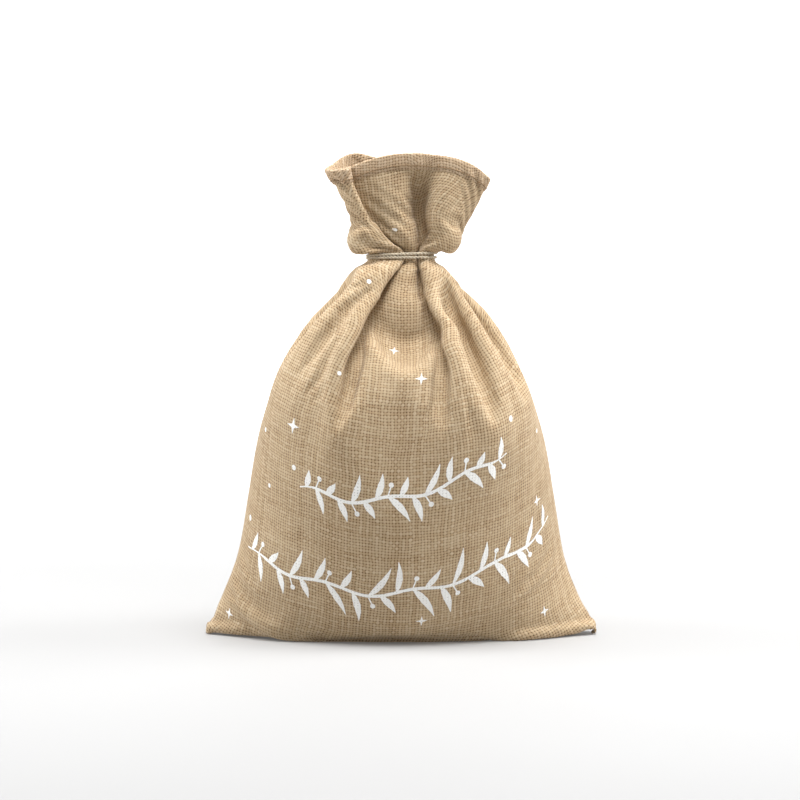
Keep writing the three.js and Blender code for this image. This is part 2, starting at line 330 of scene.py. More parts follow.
# ---- Node materials ----
class Shader:
    """A material's node tree, with one method per kind of node that the cloths use."""

    def __init__(self, name, roughness=0.9):
        self.material = bpy.data.materials.new(name)
        self.material.use_nodes = True
        self.tree = self.material.node_tree
        self.bsdf = self.tree.nodes["Principled BSDF"]
        self.bsdf.inputs["Roughness"].default_value = roughness
        self.bsdf.inputs["Specular IOR Level"].default_value = 0.25

    def glow(self, strength):
        """White light of its own, as strong as the value or the socket says."""
        self.bsdf.inputs["Emission Color"].default_value = (1, 1, 1, 1)
        self.link(strength, self.bsdf.inputs["Emission Strength"])

    def node(self, kind, **settings):
        node = self.tree.nodes.new(kind)
        for key, value in settings.items():
            setattr(node, key, value)
        return node

    def link(self, value, socket):
        if isinstance(value, (int, float, tuple)):
            socket.default_value = value
        else:
            self.tree.links.new(value, socket)

    def math(self, operation, *values):
        node = self.node("ShaderNodeMath", operation=operation)
        for value, socket in zip(values, node.inputs):
            self.link(value, socket)
        return node.outputs[0]

    def plus(self, a, b):
        return self.math("ADD", a, b)

    def minus(self, a, b):
        return self.math("SUBTRACT", a, b)

    def times(self, a, b):
        return self.math("MULTIPLY", a, b)

    def ramp(self, value, low, high, start=0.0, end=1.0):
        """value from low..high, smoothly, to start..end."""
        node = self.node("ShaderNodeMapRange", interpolation_type="SMOOTHSTEP")
        for v, socket in zip((value, low, high, start, end), node.inputs):
            self.link(v, socket)
        return node.outputs[0]

    def vector(self, x, y, z=0.0):
        node = self.node("ShaderNodeCombineXYZ")
        for v, socket in zip((x, y, z), node.inputs):
            self.link(v, socket)
        return node.outputs[0]

    def noise(self, vector, scale, detail=2.0, rough=0.5):
        node = self.node("ShaderNodeTexNoise")
        self.link(vector, node.inputs["Vector"])
        node.inputs["Scale"].default_value = scale
        node.inputs["Detail"].default_value = detail
        node.inputs["Roughness"].default_value = rough
        return node.outputs["Fac"]

    def random(self, value):
        node = self.node("ShaderNodeTexWhiteNoise", noise_dimensions="1D")
        self.link(value, node.inputs["W"])
        return node.outputs["Value"]

    def colours(self, value, stops):
        node = self.node("ShaderNodeValToRGB")
        ramp = node.color_ramp
        while len(ramp.elements) < len(stops):
            ramp.elements.new(0.5)
        for element, (place, colour) in zip(ramp.elements, stops):
            element.position = place
            element.color = (*colour, 1)
        self.link(value, node.inputs[0])
        return node.outputs[0]

    def mix(self, factor, a, b, blend="MIX"):
        node = self.node("ShaderNodeMix", data_type="RGBA", blend_type=blend)
        self.link(factor, node.inputs[0])
        for value, socket in ((a, node.inputs[6]), (b, node.inputs[7])):
            self.link(value, socket)
        return node.outputs[2]

    def uv(self):
        node = self.node("ShaderNodeUVMap", uv_map="weave")
        split = self.node("ShaderNodeSeparateXYZ")
        self.link(node.outputs[0], split.inputs[0])
        return split.outputs[0], split.outputs[1]

    def position(self):
        return self.node("ShaderNodeTexCoord").outputs["Object"]

    def bump(self, height, distance, strength=1.0, under=None):
        node = self.node("ShaderNodeBump")
        node.inputs["Strength"].default_value = strength
        node.inputs["Distance"].default_value = distance
        self.link(height, node.inputs["Height"])
        if under is not None:
            self.link(under, node.inputs["Normal"])
        return node.outputs[0]

    def finish(self, colour, normal, sheen=0.0):
        self.link(colour, self.bsdf.inputs["Base Color"])
        self.link(normal, self.bsdf.inputs["Normal"])
        self.bsdf.inputs["Sheen Weight"].default_value = sheen
        self.bsdf.inputs["Sheen Roughness"].default_value = 0.5
        return self.material


def woven_material(name, stops, inked=False, density=1.0):
    """Plain weave in thick and thin threads. The map named weave counts the threads."""
    s = Shader(name)
    u0, v0 = s.uv()
    u0, v0 = s.times(u0, density), s.times(v0, density)
    drift = s.noise(s.vector(u0, v0), 0.09, 2)
    drift2 = s.noise(s.vector(u0, v0, 31.0), 0.11, 2)
    u = s.plus(u0, s.times(s.minus(drift, 0.5), 1.6))
    v = s.plus(v0, s.times(s.minus(drift2, 0.5), 1.6))
    iu, iv = s.math("FLOOR", u), s.math("FLOOR", v)
    fu, fv = s.minus(s.minus(u, iu), 0.5), s.minus(s.minus(v, iv), 0.5)
    # Each thread has its own thickness and shade, and slubs along it.
    slub_u = s.noise(s.vector(s.times(iu, 3.7), s.times(v, 0.16)), 1.0, 2)
    slub_v = s.noise(s.vector(s.times(u, 0.16), s.times(iv, 3.7), 9.0), 1.0, 2)
    own_u, own_v = s.random(iu), s.random(s.plus(iv, 400.5))
    half_u = s.plus(s.ramp(slub_u, 0.25, 0.75, 0.37, 0.52), s.times(own_u, 0.05))
    half_v = s.plus(s.ramp(slub_v, 0.25, 0.75, 0.37, 0.52), s.times(own_v, 0.05))

    def rounded(f, half):
        share = s.math("DIVIDE", f, half)
        rest = s.minus(1.0, s.times(share, share))
        return s.math("SQRT", s.math("MAXIMUM", rest, 0.0))

    over_u = s.math("SINE", s.times(s.plus(v, iu), math.pi))
    over_v = s.times(s.math("SINE", s.times(s.plus(u, iv), math.pi)), -1.0)
    round_u, round_v = rounded(fu, half_u), rounded(fv, half_v)
    high_u = s.plus(s.times(round_u, 0.6), s.times(over_u, 0.4))
    high_v = s.plus(s.times(round_v, 0.6), s.times(over_v, 0.4))
    height = s.math("MAXIMUM", high_u, high_v)
    on_u = s.math("GREATER_THAN", high_u, high_v)
    # Fibres run along whichever thread is on top.
    fibre_u = s.noise(s.vector(s.times(u, 9.0), s.times(v, 2.2)), 1.0, 3, 0.7)
    fibre_v = s.noise(s.vector(s.times(u, 2.2), s.times(v, 9.0)), 1.0, 3, 0.7)

    def pick(a, b):
        return s.plus(s.times(a, on_u), s.times(b, s.minus(1.0, on_u)))

    fibre = pick(fibre_u, fibre_v)
    shade_u = s.plus(s.times(own_u, 0.4), s.times(slub_u, 0.6))
    shade_v = s.plus(s.times(own_v, 0.4), s.times(slub_v, 0.6))
    shade = s.plus(s.times(pick(shade_u, shade_v), 0.42), s.times(fibre, 0.58))
    thread = s.colours(shade, stops)
    blotch = s.noise(s.position(), 14.0, 3)
    thread = s.mix(1.0, thread, s.colours(blotch, [(0.3, (0.9, 0.9, 0.9)), (0.7, (1, 1, 1))]), "MULTIPLY")
    # Painted shade: the thread colour is darkened down the sides of each thread and nearly black in the
    # gaps between threads, following the bump height, where the weave's hollows would lie in shadow.
    depth = s.ramp(height, 0.16, 0.82, 0.0, 1.0)
    dark = s.colours(depth, [(0, (0.12, 0.085, 0.05)), (0.5, (0.66, 0.6, 0.52)), (1, (1, 1, 1))])
    colour = s.mix(1.0, thread, dark, "MULTIPLY")
    if inked:
        patchy = s.noise(s.vector(u, v, 5.0), 0.8, 2)
        cover = s.ramp(s.plus(height, s.times(patchy, 0.5)), 0.36, 0.62)
        colour = s.mix(cover, colour, (0.97, 0.96, 0.93, 1))
    weave = s.bump(height, 0.42 * MM, 0.85)
    normal = s.bump(fibre, 0.16 * MM, 0.6, weave)
    return s.finish(colour, normal, sheen=0.1)


JUTE = [(0.25, (0.36, 0.228, 0.12)), (0.42, (0.512, 0.368, 0.22)), (0.58, (0.608, 0.472, 0.308)),
        (0.8, (0.72, 0.608, 0.44))]
JUTE_HEM = [(0.25, (0.384, 0.24, 0.132)), (0.42, (0.536, 0.38, 0.236)), (0.58, (0.632, 0.48, 0.328)),
            (0.8, (0.736, 0.616, 0.464))]


def cord_material(name, dark, light):
    """Twisted fibres, with fine lines along the ply and darker strands among them."""
    s = Shader(name)
    along, around = s.uv()
    lines = s.noise(s.vector(s.times(along, 0.9), s.times(around, 14.0)), 1.0, 3, 0.7)
    slub = s.noise(s.vector(along, 3.0), 0.22, 2)
    shade = s.plus(s.times(lines, 0.65), s.times(slub, 0.35))
    colour = s.colours(shade, [(0.3, dark), (0.68, light)])
    return s.finish(colour, s.bump(lines, 0.14 * MM, 0.8), sheen=0.15)


def paper_material(name):
    """Thin tissue, off white, with crease lines, its colour darker in their hollows as painted shade."""
    s = Shader(name, 0.8)
    creases = s.noise(s.position(), 60.0, 5, 0.6)
    # The colour follows the crease bump, lighter on its ridges and darker in its hollows: painted shade.
    colour = s.colours(creases, [(0.3, (0.66, 0.63, 0.56)), (0.7, (0.84, 0.82, 0.77))])
    return s.finish(colour, s.bump(creases, 1.2 * MM, 0.7))


# ---- The gathered sack before it is relaxed ----
def through(rows):
    """A pleat plan as one point per column, with its corners eased."""
    rows = np.array(rows, float)
    out = np.stack([np.interp(flat_mm, rows[:, 0], rows[:, c]) for c in range(1, rows.shape[1])], 1)
    for _ in range(3):
        out[1:-1] = 0.5 * out[1:-1] + 0.25 * (out[2:] + out[:-2])
    return out * MM


def ruff_spread(t, mouth_x):
    """How far out each column is between the tie and its place at the mouth."""
    left = smoothstep((-mouth_x / MM - 25) / 15) * smoothstep((52 - flat_mm) / 16)
    right = smoothstep((mouth_x / MM - 25) / 20)
    plain = t**0.8
    bulged = 0.27 * smoothstep(t / 0.1) + 0.25 * t + 0.48 * t**3
    return plain * (1 - left - right) + bulged * left + t**0.55 * right


NECK = [through(NECK_FRONT) * TIE_PINCH, through(NECK_BACK) * TIE_PINCH]
MOUTH = [through(MOUTH_FRONT), through(MOUTH_BACK)]


def envelope(z, side):
    """One panel's even columns round the filled sack at height z."""
    angle = np.linspace(math.pi, 2 * math.pi, 400)
    x = half_width(z) * np.cos(angle)
    y = half_depth(z) * np.maximum(1 - np.cos(angle) ** 2, 0) ** roundness(z)
    s = np.concatenate([[0], np.cumsum(np.hypot(np.diff(x), np.diff(y)))])
    q = np.linspace(0, s[-1], COLUMNS + 1)
    return np.stack([np.interp(q, s, x), side * np.interp(q, s, y)], 1)


def body_columns(panel):
    """The panel from the bottom seam up to the tie, its pleats fading out below it."""
    neck_foot = BODY[-1, 0]
    heights = np.concatenate([[0], np.linspace(0, neck_foot, 140)])
    grid = np.zeros((len(heights), COLUMNS + 1, 3))
    grid[0, :, 0] = across * BODY[0, 1]
    for k, z in enumerate(heights[1:], 1):
        w = smoothstep((neck_foot - z) / 0.095)
        grow = np.array([half_width(z) / BODY[-1, 1], half_depth(z) / BODY[-1, 2]])
        grow /= TIE_PINCH + (1 - TIE_PINCH) * smoothstep((z - 0.262) / 0.014)
        grid[k, :, :2] = (1 - w) * NECK[panel] * grow + w * envelope(z, (-1, 1)[panel])
        grid[k, :, 2] = z
    return grid


def hump(middle, spread):
    """A smooth rise to 1 at that place across the flat cloth, in millimetres."""
    return np.exp(-((flat_mm - middle) / spread) ** 2)


def first_shape():
    """Both panels gathered at the tie and open above it."""
    points = np.zeros((2, ROWS + 1, COLUMNS + 1, 3))
    for panel in (FRONT, BACK):
        grid = body_columns(panel)
        step = np.linalg.norm(np.diff(grid, axis=0), axis=2)
        s = np.concatenate([np.zeros((1, COLUMNS + 1)), np.cumsum(step, 0)])
        for i in range(COLUMNS + 1):
            q = np.linspace(0, s[-1, i], TIE_ROW)
            for c in range(3):
                points[panel, :TIE_ROW, i, c] = np.interp(q, s[:, i], grid[:, i, c])
        neck, mouth = NECK[panel], MOUTH[panel]
        away = unit(neck + 1e-9)
        for j in range(TIE_ROW, ROWS + 1):
            t = max(j - TIE_ROW - 1, 0) / (ROWS - TIE_ROW - 1)
            spread = ruff_spread(t, mouth[:, 0])[:, None]
            puff = away * (math.sin(math.pi * min(t / 0.4, 1)) * 3.5 * MM)
            points[panel, j, :, :2] = neck + (mouth[:, :2] - neck) * spread + puff
            rise = NECK_HEIGHT + min(j - TIE_ROW, 1) * RUFF_START
            points[panel, j, :, 2] = rise + (mouth[:, 2] - rise) * t**1.12
            if panel == FRONT:
                swell = math.sin(math.pi * min(t / 0.9, 1))
                valley = hump(168, 12) * swell
                lobe = hump(132, 16) + hump(205, 18)
                points[panel, j, :, 1] += valley * 15 * MM
                points[panel, j, :, 1] -= lobe * 4 * MM * swell
            low = 10 * hump(34, 30) + 10 * hump(236, 30)
            points[panel, j, :, 2] -= low * MM * math.sin(math.pi * min(t / 0.26, 1))
        points[panel, TIE_ROW - 1, :, 2] = NECK_HEIGHT - TIED_HALF
        points[panel, TIE_ROW + 1, :, 2] = NECK_HEIGHT + TIED_HALF
    return points


# ---- Relaxing the cloth ----
def weld(p):
    """Keeps the two panels together at the side seams and along the bottom."""
    for i in (0, COLUMNS):
        p[:, :, i] = (p[FRONT, :, i] + p[BACK, :, i]) / 2
    p[:, 0] = (p[FRONT, 0] + p[BACK, 0]) / 2


def hold(p, w, first, second, rest, stiff, push=False):
    """Moves two slices of the points to rest apart, or only apart where push is set."""
    a, b, wa, wb = p[first], p[second], w[first], w[second]
    d = b - a
    length = np.sqrt((d * d).sum(-1, keepdims=True)) + 1e-12
    c = (length - rest) / length
    if push:
        c = np.minimum(c, 0)
    c = stiff * c / (wa + wb + 1e-9) * d
    a += wa * c
    b -= wb * c


def limit(p, axis, step, most, w):
    """Pulls points that many rows or columns apart together when they are further than most."""
    q, wq, m = (np.moveaxis(a, axis, 0) for a in (p, w, most))
    j = np.arange(len(q) - step)
    for odd in (0, 1):
        js = j[(j // step) % 2 == odd]
        d = q[js + step] - q[js]
        length = np.sqrt((d * d).sum(-1, keepdims=True)) + 1e-12
        c = np.maximum((length - m[js]) / length, 0) / (wq[js] + wq[js + step] + 1e-9) * d
        q[js] += wq[js] * c
        q[js + step] -= wq[js + step] * c


def window(rest, axis, step):
    """The flat length of that many rests in a row."""
    c = np.cumsum(rest, axis=axis)
    c = np.concatenate([np.zeros_like(np.take(c, [0], axis)), c], axis)
    n = c.shape[axis]
    return np.take(c, range(step, n), axis) - np.take(c, range(n - step), axis)


def outward(p):
    """Unit normals out of the sack at every point of both panels."""
    n = unit(np.cross(np.gradient(p, axis=2), np.gradient(p, axis=1)))
    n[BACK] *= -1
    return n


def near_pairs(points, radius):
    """Every pair of points nearer than radius."""
    cells = np.floor(points / radius).astype(np.int64) + 512
    key = (cells[:, 0] * 2048 + cells[:, 1]) * 2048 + cells[:, 2]
    order = np.argsort(key, kind="stable")
    ordered = key[order]
    firsts, seconds = [], []
    steps = [(x * 2048 + y) * 2048 + z for x in (-1, 0, 1) for y in (-1, 0, 1) for z in (-1, 0, 1)]
    for step in [v for v in steps if v >= 0]:
        low = np.searchsorted(ordered, key + step, "left")
        count = np.searchsorted(ordered, key + step, "right") - low
        for k in range(count.max()):
            a = np.nonzero(count > k)[0]
            b = order[low[a] + k]
            if step == 0:
                a, b = a[a < b], b[a < b]
            near = ((points[a] - points[b]) ** 2).sum(1) < radius * radius
            firsts.append(a[near])
            seconds.append(b[near])
    return np.concatenate(firsts), np.concatenate(seconds)


def contacts(p, radius):
    """Pairs of points that are near in space and far apart in the cloth."""
    a, b = near_pairs(p.reshape(-1, 3), radius)
    size = (ROWS + 1) * (COLUMNS + 1)
    (pa, ra), (pb, rb) = np.divmod(a, size), np.divmod(b, size)
    (ja, ia), (jb, ib) = np.divmod(ra, COLUMNS + 1), np.divmod(rb, COLUMNS + 1)
    at_seam = (np.minimum(ia, COLUMNS - ia) <= 2) & (np.minimum(ib, COLUMNS - ib) <= 2)
    at_seam |= (ja <= 2) & (jb <= 2)
    far = np.where(pa == pb, (abs(ja - jb) > 3) | (abs(ia - ib) > 4), ~at_seam)
    far &= ~((abs(ja - TIE_ROW) < 4) & (abs(jb - TIE_ROW) < 4))
    return a[far], b[far]


def keep_apart(p, pairs, gap, w):
    """Pushes the pairs gently to gap apart."""
    a, b = pairs
    flat, wf = p.reshape(-1, 3), w.reshape(-1)
    d = flat[b] - flat[a]
    length = np.sqrt((d * d).sum(1)) + 1e-9
    c = (0.2 * np.maximum(gap - length, 0) / length)[:, None] * d
    for k in range(3):
        flat[:, k] -= np.bincount(a, c[:, k], len(flat)) * wf
        flat[:, k] += np.bincount(b, c[:, k], len(flat)) * wf


def lumps(x, y, z):
    """Soft unevenness of the filling under the cloth, from -1 to 1."""
    return (0.5 * np.sin(31 * x + 19 * z + 1.1) * np.sin(27 * z - 14 * y + 0.6)
            + 0.5 * np.sin(58 * x - 33 * z + 2.0) * np.sin(49 * z + 36 * y))


def keep_out_of_filling(p, w):
    """Moves points out of the filling, which is looser towards the shoulders."""
    x, y, z = p[..., 0], p[..., 1], p[..., 2]
    middle = np.exp(-((x - 0.004) / 0.036) ** 2)
    inset = 0.003 + 0.0018 * lumps(x, y, z) + 0.009 * smoothstep((z - 0.17) / 0.08)
    inset += 0.024 * middle * smoothstep((z - 0.185) / 0.045)
    a = np.maximum(half_width(z) - inset * 0.5 + 0.001, 0.01)
    b = np.maximum(half_depth(z) - inset, 0.006)
    e = 1 / roundness(z)
    ya = np.abs(y) + 1e-9
    f = (x / a) ** 2 + (ya / b) ** e - 1
    gx, gy = 2 * x / a**2, e * (ya / b) ** (e - 1) / b * np.sign(y)
    size = gx * gx + gy * gy + 1e-9
    inside = (f < 0) & (z < 0.266) & (z > 0.004)
    move = np.where(inside, np.minimum(-f / size, 0.003 / np.sqrt(size)), 0) * w[..., 0]
    p[..., 0] += move * gx
    p[..., 1] += move * gy
    most = half_depth(z) + 0.005
    most = np.where(z < 0.262, most, 1.0)
    p[..., 1] += w[..., 0] * 0.5 * (np.clip(p[..., 1], -most, most) - p[..., 1])
    # The tails press on the cloth that they hang down.
    route = np.array(TAIL_ROUTE)[::-1] * MM
    x, y, z = (p[BACK, ..., c] for c in range(3))
    beside = np.maximum(np.abs(x) - np.interp(z, route[:, 2], route[:, 0]), 0)
    under = np.interp(z, route[:, 2], route[:, 1]) - 0.0021 + 0.3 * np.maximum(beside - 0.004, 0)
    under += np.maximum(route[0, 2] - 0.009 - z, 0)
    press = np.where(z < 0.272, np.maximum(y - under, 0), 0)
    p[BACK, ..., 1] -= w[BACK, ..., 0] * press


# Where the slack cloth below the tie folds inward: panel, millimetres across the flat cloth, height,
# the spread of each, and how hard.
DENTS = [
    (FRONT, 104, 250, 5, 24, 84), (FRONT, 106, 226, 7, 12, 45), (FRONT, 172, 260, 6, 13, 86),
    (FRONT, 24, 250, 8, 20, 22), (FRONT, 226, 240, 12, 14, 16), (FRONT, 262, 226, 10, 24, 18),
    (BACK, 54, 250, 6, 20, 40), (BACK, 150, 240, 7, 26, 50), (BACK, 238, 252, 6, 18, 40),
]


def folding_force(p):
    """The push, inward, of the folds that the photographed sack has below its tie."""
    force = np.zeros(p.shape[:3])
    for panel, u, z, wide, tall, strength in DENTS:
        high = (p[panel, ..., 2] / MM - z) / tall
        force[panel] += strength * np.exp(-((flat_mm - u) / wide) ** 2 - high**2)
    x, z = p[FRONT, ..., 0] / MM - 5, p[FRONT, ..., 2] / MM
    smile = z - (215 + 26 * (x / 31) ** 2)
    force[FRONT] += 62 * np.exp(-(smile / 9) ** 2 - (x / 27) ** 4)
    force[FRONT] -= 20 * np.exp(-((z - 245) / 12) ** 2 - (x / 17) ** 4)
    force[FRONT] -= 20 * np.exp(-((smile + 19) / 7) ** 2 - (x / 34) ** 4)
    force -= 34 * np.exp(-((p[..., 2] / MM - 270) / 6) ** 2)
    force[:, TIE_ROW - 1:] = 0
    return force[..., None]


# Made-up values, chosen for the look of the folds and for a cloth that settles.
GRAVITY = 3.0
PRESSURE = 5.0
STEP_TIME = 1 / 400
SPEED_KEPT = 0.97  # The share of its speed that the cloth keeps from step to step.
RUFF_PULL = 0.02  # The share of the way back to its first shape that the ruff is drawn.


def relax(start, steps):
    """The cloth after it has settled, with its flat spacing across and along."""
    w = np.ones((2, ROWS + 1, COLUMNS + 1, 1))
    w[:, TIE_ROW - 1:TIE_ROW + 2] = 0
    row = np.arange(ROWS + 1)[None, :, None, None]
    ruff = (row > TIE_ROW).astype(float)
    gathered = np.linalg.norm(np.diff(start, axis=2), axis=-1, keepdims=True)
    ramp = smoothstep((TIE_ROW - row) * (CLOTH_LENGTH / ROWS) / 0.085)
    at_tie = gathered[:, TIE_ROW:TIE_ROW + 1]
    rest_u = np.where(row <= TIE_ROW, at_tie * (1 - ramp) + CLOTH_WIDTH / COLUMNS * ramp, gathered)
    rest_v = np.linalg.norm(np.diff(start, axis=1), axis=-1, keepdims=True)
    rest_v[:, :TIE_ROW] = row_below[:, None, :, None]
    du, dv = (rest_u[:, :-1] + rest_u[:, 1:]) / 2, (rest_v[:, :, :-1] + rest_v[:, :, 1:]) / 2
    slant = np.sqrt(du**2 + dv**2)
    bends = [(k, window(rest_u, 2, k) * share, window(rest_v, 1, k) * share)
             for k, share in ((2, 1.0), (4, 0.93))]
    reach = [(axis, k, window(r, axis, k)) for k in (12, 4) for axis, r in ((1, rest_v), (2, rest_u))]
    p, velocity = start.copy(), np.zeros_like(start)
    for step in range(steps):
        if step % 5 == 0:
            normal = outward(p)
        if step % 6 == 0:
            pairs = contacts(p, CONTACT_GAP)
        z = p[..., 2:3]
        push = PRESSURE * smoothstep((z - 0.02) / 0.08) * (1 - ruff) * smoothstep((0.282 - z) / 0.05)
        force = (push - folding_force(p)) * normal
        force[..., 2:3] -= GRAVITY * (1 - 0.8 * ruff)
        before = p.copy()
        p = p + w * (velocity * SPEED_KEPT * STEP_TIME + force * STEP_TIME * STEP_TIME)
        for axis, k, most in reach:
            limit(p, axis, k, most, w)
        for again in range(2):
            for s in (0, 1):
                hold(p, w, np.s_[:, :, s:-1:2], np.s_[:, :, s + 1::2], rest_u[:, :, s::2], 1)
            for s in (0, 1):
                low, high = slice(s, -1, 2), slice(s + 1, None, 2)
                hold(p, w, np.s_[:, low], np.s_[:, high], rest_v[:, s::2], 1)
                hold(p, w, np.s_[:, low, :-1], np.s_[:, high, 1:], slant[:, s::2], 0.2)
                hold(p, w, np.s_[:, low, 1:], np.s_[:, high, :-1], slant[:, s::2], 0.2)
            for two, u_far, v_far in bends if again == 0 else ():
                for s in range(2 * two):
                    low, high = slice(s, -two, 2 * two), slice(s + two, None, 2 * two)
                    every = slice(s, None, 2 * two)
                    hold(p, w, np.s_[:, :, low], np.s_[:, :, high], u_far[:, :, every], 0.2, True)
                    hold(p, w, np.s_[:, low], np.s_[:, high], v_far[:, every], 0.2, True)
            weld(p)
        keep_out_of_filling(p, w)
        on_floor = (p[..., 2:3] < 1.2 * MM) * 0.9
        p[..., 2] = np.maximum(p[..., 2], FLOOR_GAP)
        p[..., 0] = np.clip(p[..., 0], -BODY[0, 1], BODY[0, 1])
        p[..., :2] += on_floor * (before[..., :2] - p[..., :2])
        below = slice(0, TIE_ROW - 6)
        p[FRONT, below, :, 1] = np.minimum(p[FRONT, below, :, 1], 0)
        p[BACK, below, :, 1] = np.maximum(p[BACK, below, :, 1], 0)
        p += ruff * w * (start - p) * RUFF_PULL
        keep_apart(p, pairs, CONTACT_GAP, w)
        weld(p)
        velocity = (p - before) / STEP_TIME
    return p, rest_u, rest_v


# ---- The cloth as it is shown ----
class Cloth:
    """The relaxed panels on a finer grid, with normals and the cloth's own flat coordinates."""

    def __init__(self, coarse, rest_u, rest_v):
        tu = np.linspace(0, COLUMNS, FINE_COLUMNS + 1)
        tv = np.linspace(0, ROWS, FINE_ROWS + 1)
        wide = np.concatenate([np.zeros((2, ROWS + 1, 1)), np.cumsum(rest_u[..., 0], 2)], 2)
        wide -= wide[:, :, COLUMNS // 2, None]
        tall = np.concatenate([np.zeros((2, 1, COLUMNS + 1)), np.cumsum(rest_v[..., 0], 1)], 1)
        data = np.concatenate([coarse, wide[..., None], tall[..., None]], -1)
        fine = []
        for panel in (FRONT, BACK):
            rows = catmull(data[panel], tv)
            fine.append(catmull(rows.swapaxes(0, 1), tu).swapaxes(0, 1))
        fine = np.array(fine)
        self.points, self.flat = fine[..., :3], fine[..., 3:]
        self.points[..., 2] = np.maximum(self.points[..., 2], FLOOR_GAP)
        normal = outward(self.points)
        for i in (0, -1):
            both = unit(normal[FRONT, :, i] + normal[BACK, :, i])
            normal[FRONT, :, i] = normal[BACK, :, i] = both
        normal[:, 0] = unit(normal[FRONT, 0] + normal[BACK, 0] + 1e-6)
        self.normal = normal
        # The seam is drawn in by its stitching.
        for i, inward in ((0, 1), (-1, -1)):
            self.points[:, :, i, 0] += inward * 0.5 * MM
        self.uv = self.flat / np.array([WARP_PITCH, WEFT_PITCH])

    def at(self, u, v):
        """Point and normal on the front panel, u across from its left seam and v up it, flat."""
        i = np.clip(np.asarray(u) / CLOTH_WIDTH, 0, 1) * FINE_COLUMNS
        tie = np.interp(i / FINE_COLUMNS * 2 - 1, across, tie_length[FRONT])
        j = np.asarray(v) / tie * (TIE_ROW / ROWS * FINE_ROWS)
        i0 = np.clip(np.floor(i).astype(int), 0, FINE_COLUMNS - 1)
        j0 = np.clip(np.floor(j).astype(int), 0, FINE_ROWS - 1)
        a, b = (i - i0)[..., None], (j - j0)[..., None]

        def blend(g):
            low = g[j0, i0] * (1 - a) + g[j0, i0 + 1] * a
            return low * (1 - b) + (g[j0 + 1, i0] * (1 - a) + g[j0 + 1, i0 + 1] * a) * b

        return blend(self.points[FRONT]), unit(blend(self.normal[FRONT])), blend(self.uv[FRONT])


def make_panel(cloth, panel, word, material):
    """One panel as a thin closed shell, from the bottom seam to the edge inside the hem."""
    p, n = cloth.points[panel], cloth.normal[panel]
    outer, inner = p + n * CLOTH_THICK / 2, p - n * CLOTH_THICK / 2
    outer[..., 2] = np.maximum(outer[..., 2], 0.1 * MM)
    obj = shell(f"{word}_cloth", outer, inner, cloth.uv[panel], panel == BACK)
    dress(obj, material, (f"{word}_panel", f"{word}_ruff"))
    return obj


# The hem's section, half of it: rows up from its lower edge (from the top where negative), how far
# it stands off the cloth and how far it rises beyond that row, in millimetres.
HEM_FOOT = [(0, 0.5, -0.9), (0, 1.05, -0.3), (1, 1.25, 0)]
HEM_TOP = [(-1, 1.05, 0.7), (-1, 0, 1.2), (-1, -1.05, 0.7)]
HEM_SIDE = 1.3


def make_hem(cloth, panel, word, material):
    """The turned edge of the mouth, a flattened roll of cloth that pulls in at each stitch."""
    p, n, uv = (grid[panel, -HEM_ROWS:] for grid in (cloth.points, cloth.normal, cloth.uv))
    up = unit(p[-1] - p[-2])
    columns = p.shape[1]
    pull = np.where(np.arange(columns) % 2 == 0, 1.0, 0.72)
    side = [(k, HEM_SIDE, 0) for k in range(2, HEM_ROWS)]
    front = HEM_FOOT + side
    section = front + HEM_TOP + [(k, -lift, rise) for k, lift, rise in reversed(front)]
    ring, ring_uv = [], []
    for k, lift, rise in section:
        out = pull if k == 1 else np.ones(columns)
        ring.append(p[k] + n[k] * (lift * MM * out)[:, None] + up * rise * MM)
        ring_uv.append(uv[k] + np.array([0, rise * MM / WEFT_PITCH]))
    count = len(ring)
    faces = []
    for k in range(count):
        a, b = k * columns, (k + 1) % count * columns
        faces += [(a + i, a + i + 1, b + i + 1, b + i) for i in range(columns - 1)]
    faces += [tuple(k * columns for k in range(count)),
              tuple(k * columns + columns - 1 for k in reversed(range(count)))]
    if panel == BACK:
        faces = [f[::-1] for f in faces]
    obj = mesh_object(f"{word}_mouth_hem", np.reshape(ring, (-1, 3)), faces, np.reshape(ring_uv, (-1, 2)))
    dress(obj, material, (f"{word}_hem",), "ruff")
    return obj


def stitch(parts, a, b, normal, radius=0.34 * MM):
    """One stitch from a to b, rising out of the cloth between its ends."""
    t = np.linspace(0, 1, 6)[:, None]
    arch = np.sin(np.linspace(0, math.pi, 6))[:, None]
    path = a * (1 - t) + b * t + normal * (arch * 0.75 - 0.45) * MM
    tube(parts, path, radius, 6)


def make_hem_stitching(cloth, panel, word, material):
    """A running stitch just above the hem's lower edge, on the outside."""
    row = FINE_ROWS + 2 - HEM_ROWS
    n = cloth.normal[panel, row]
    line = cloth.points[panel, row] + n * 1.2 * MM
    parts = Parts()
    for i in range(1, FINE_COLUMNS - 2, 2):
        start = line[i] * 0.86 + line[i + 1] * 0.14
        stitch(parts, start, line[i + 1] * 0.2 + line[i + 2] * 0.8, n[i + 1])
    obj = parts.build(f"{word}_mouth_stitches")
    dress(obj, material, (f"{word}_hem_stitching",), "ruff")
    return obj


SEAM_WIDTH = 9 * MM
SEAM_THICK = 1.9 * MM


def strip(name, edge, inward, normal):
    """A doubled band of seam allowance from edge along inward, a little wavy at its free side."""
    count = len(edge)
    wave = 0.35 * MM * np.sin(np.arange(count) * 0.9)
    share = np.linspace(0, 1, 7)[:, None, None]
    line = edge + inward * share * SEAM_WIDTH + normal * wave[:, None] * share
    along = np.arange(count) * (travel(edge)[-1] / count) / WEFT_PITCH
    uv = np.stack(np.broadcast_arrays(share[..., 0] * SEAM_WIDTH / WARP_PITCH, along), -1)
    return shell(name, line + normal * SEAM_THICK / 2, line - normal * SEAM_THICK / 2, uv)


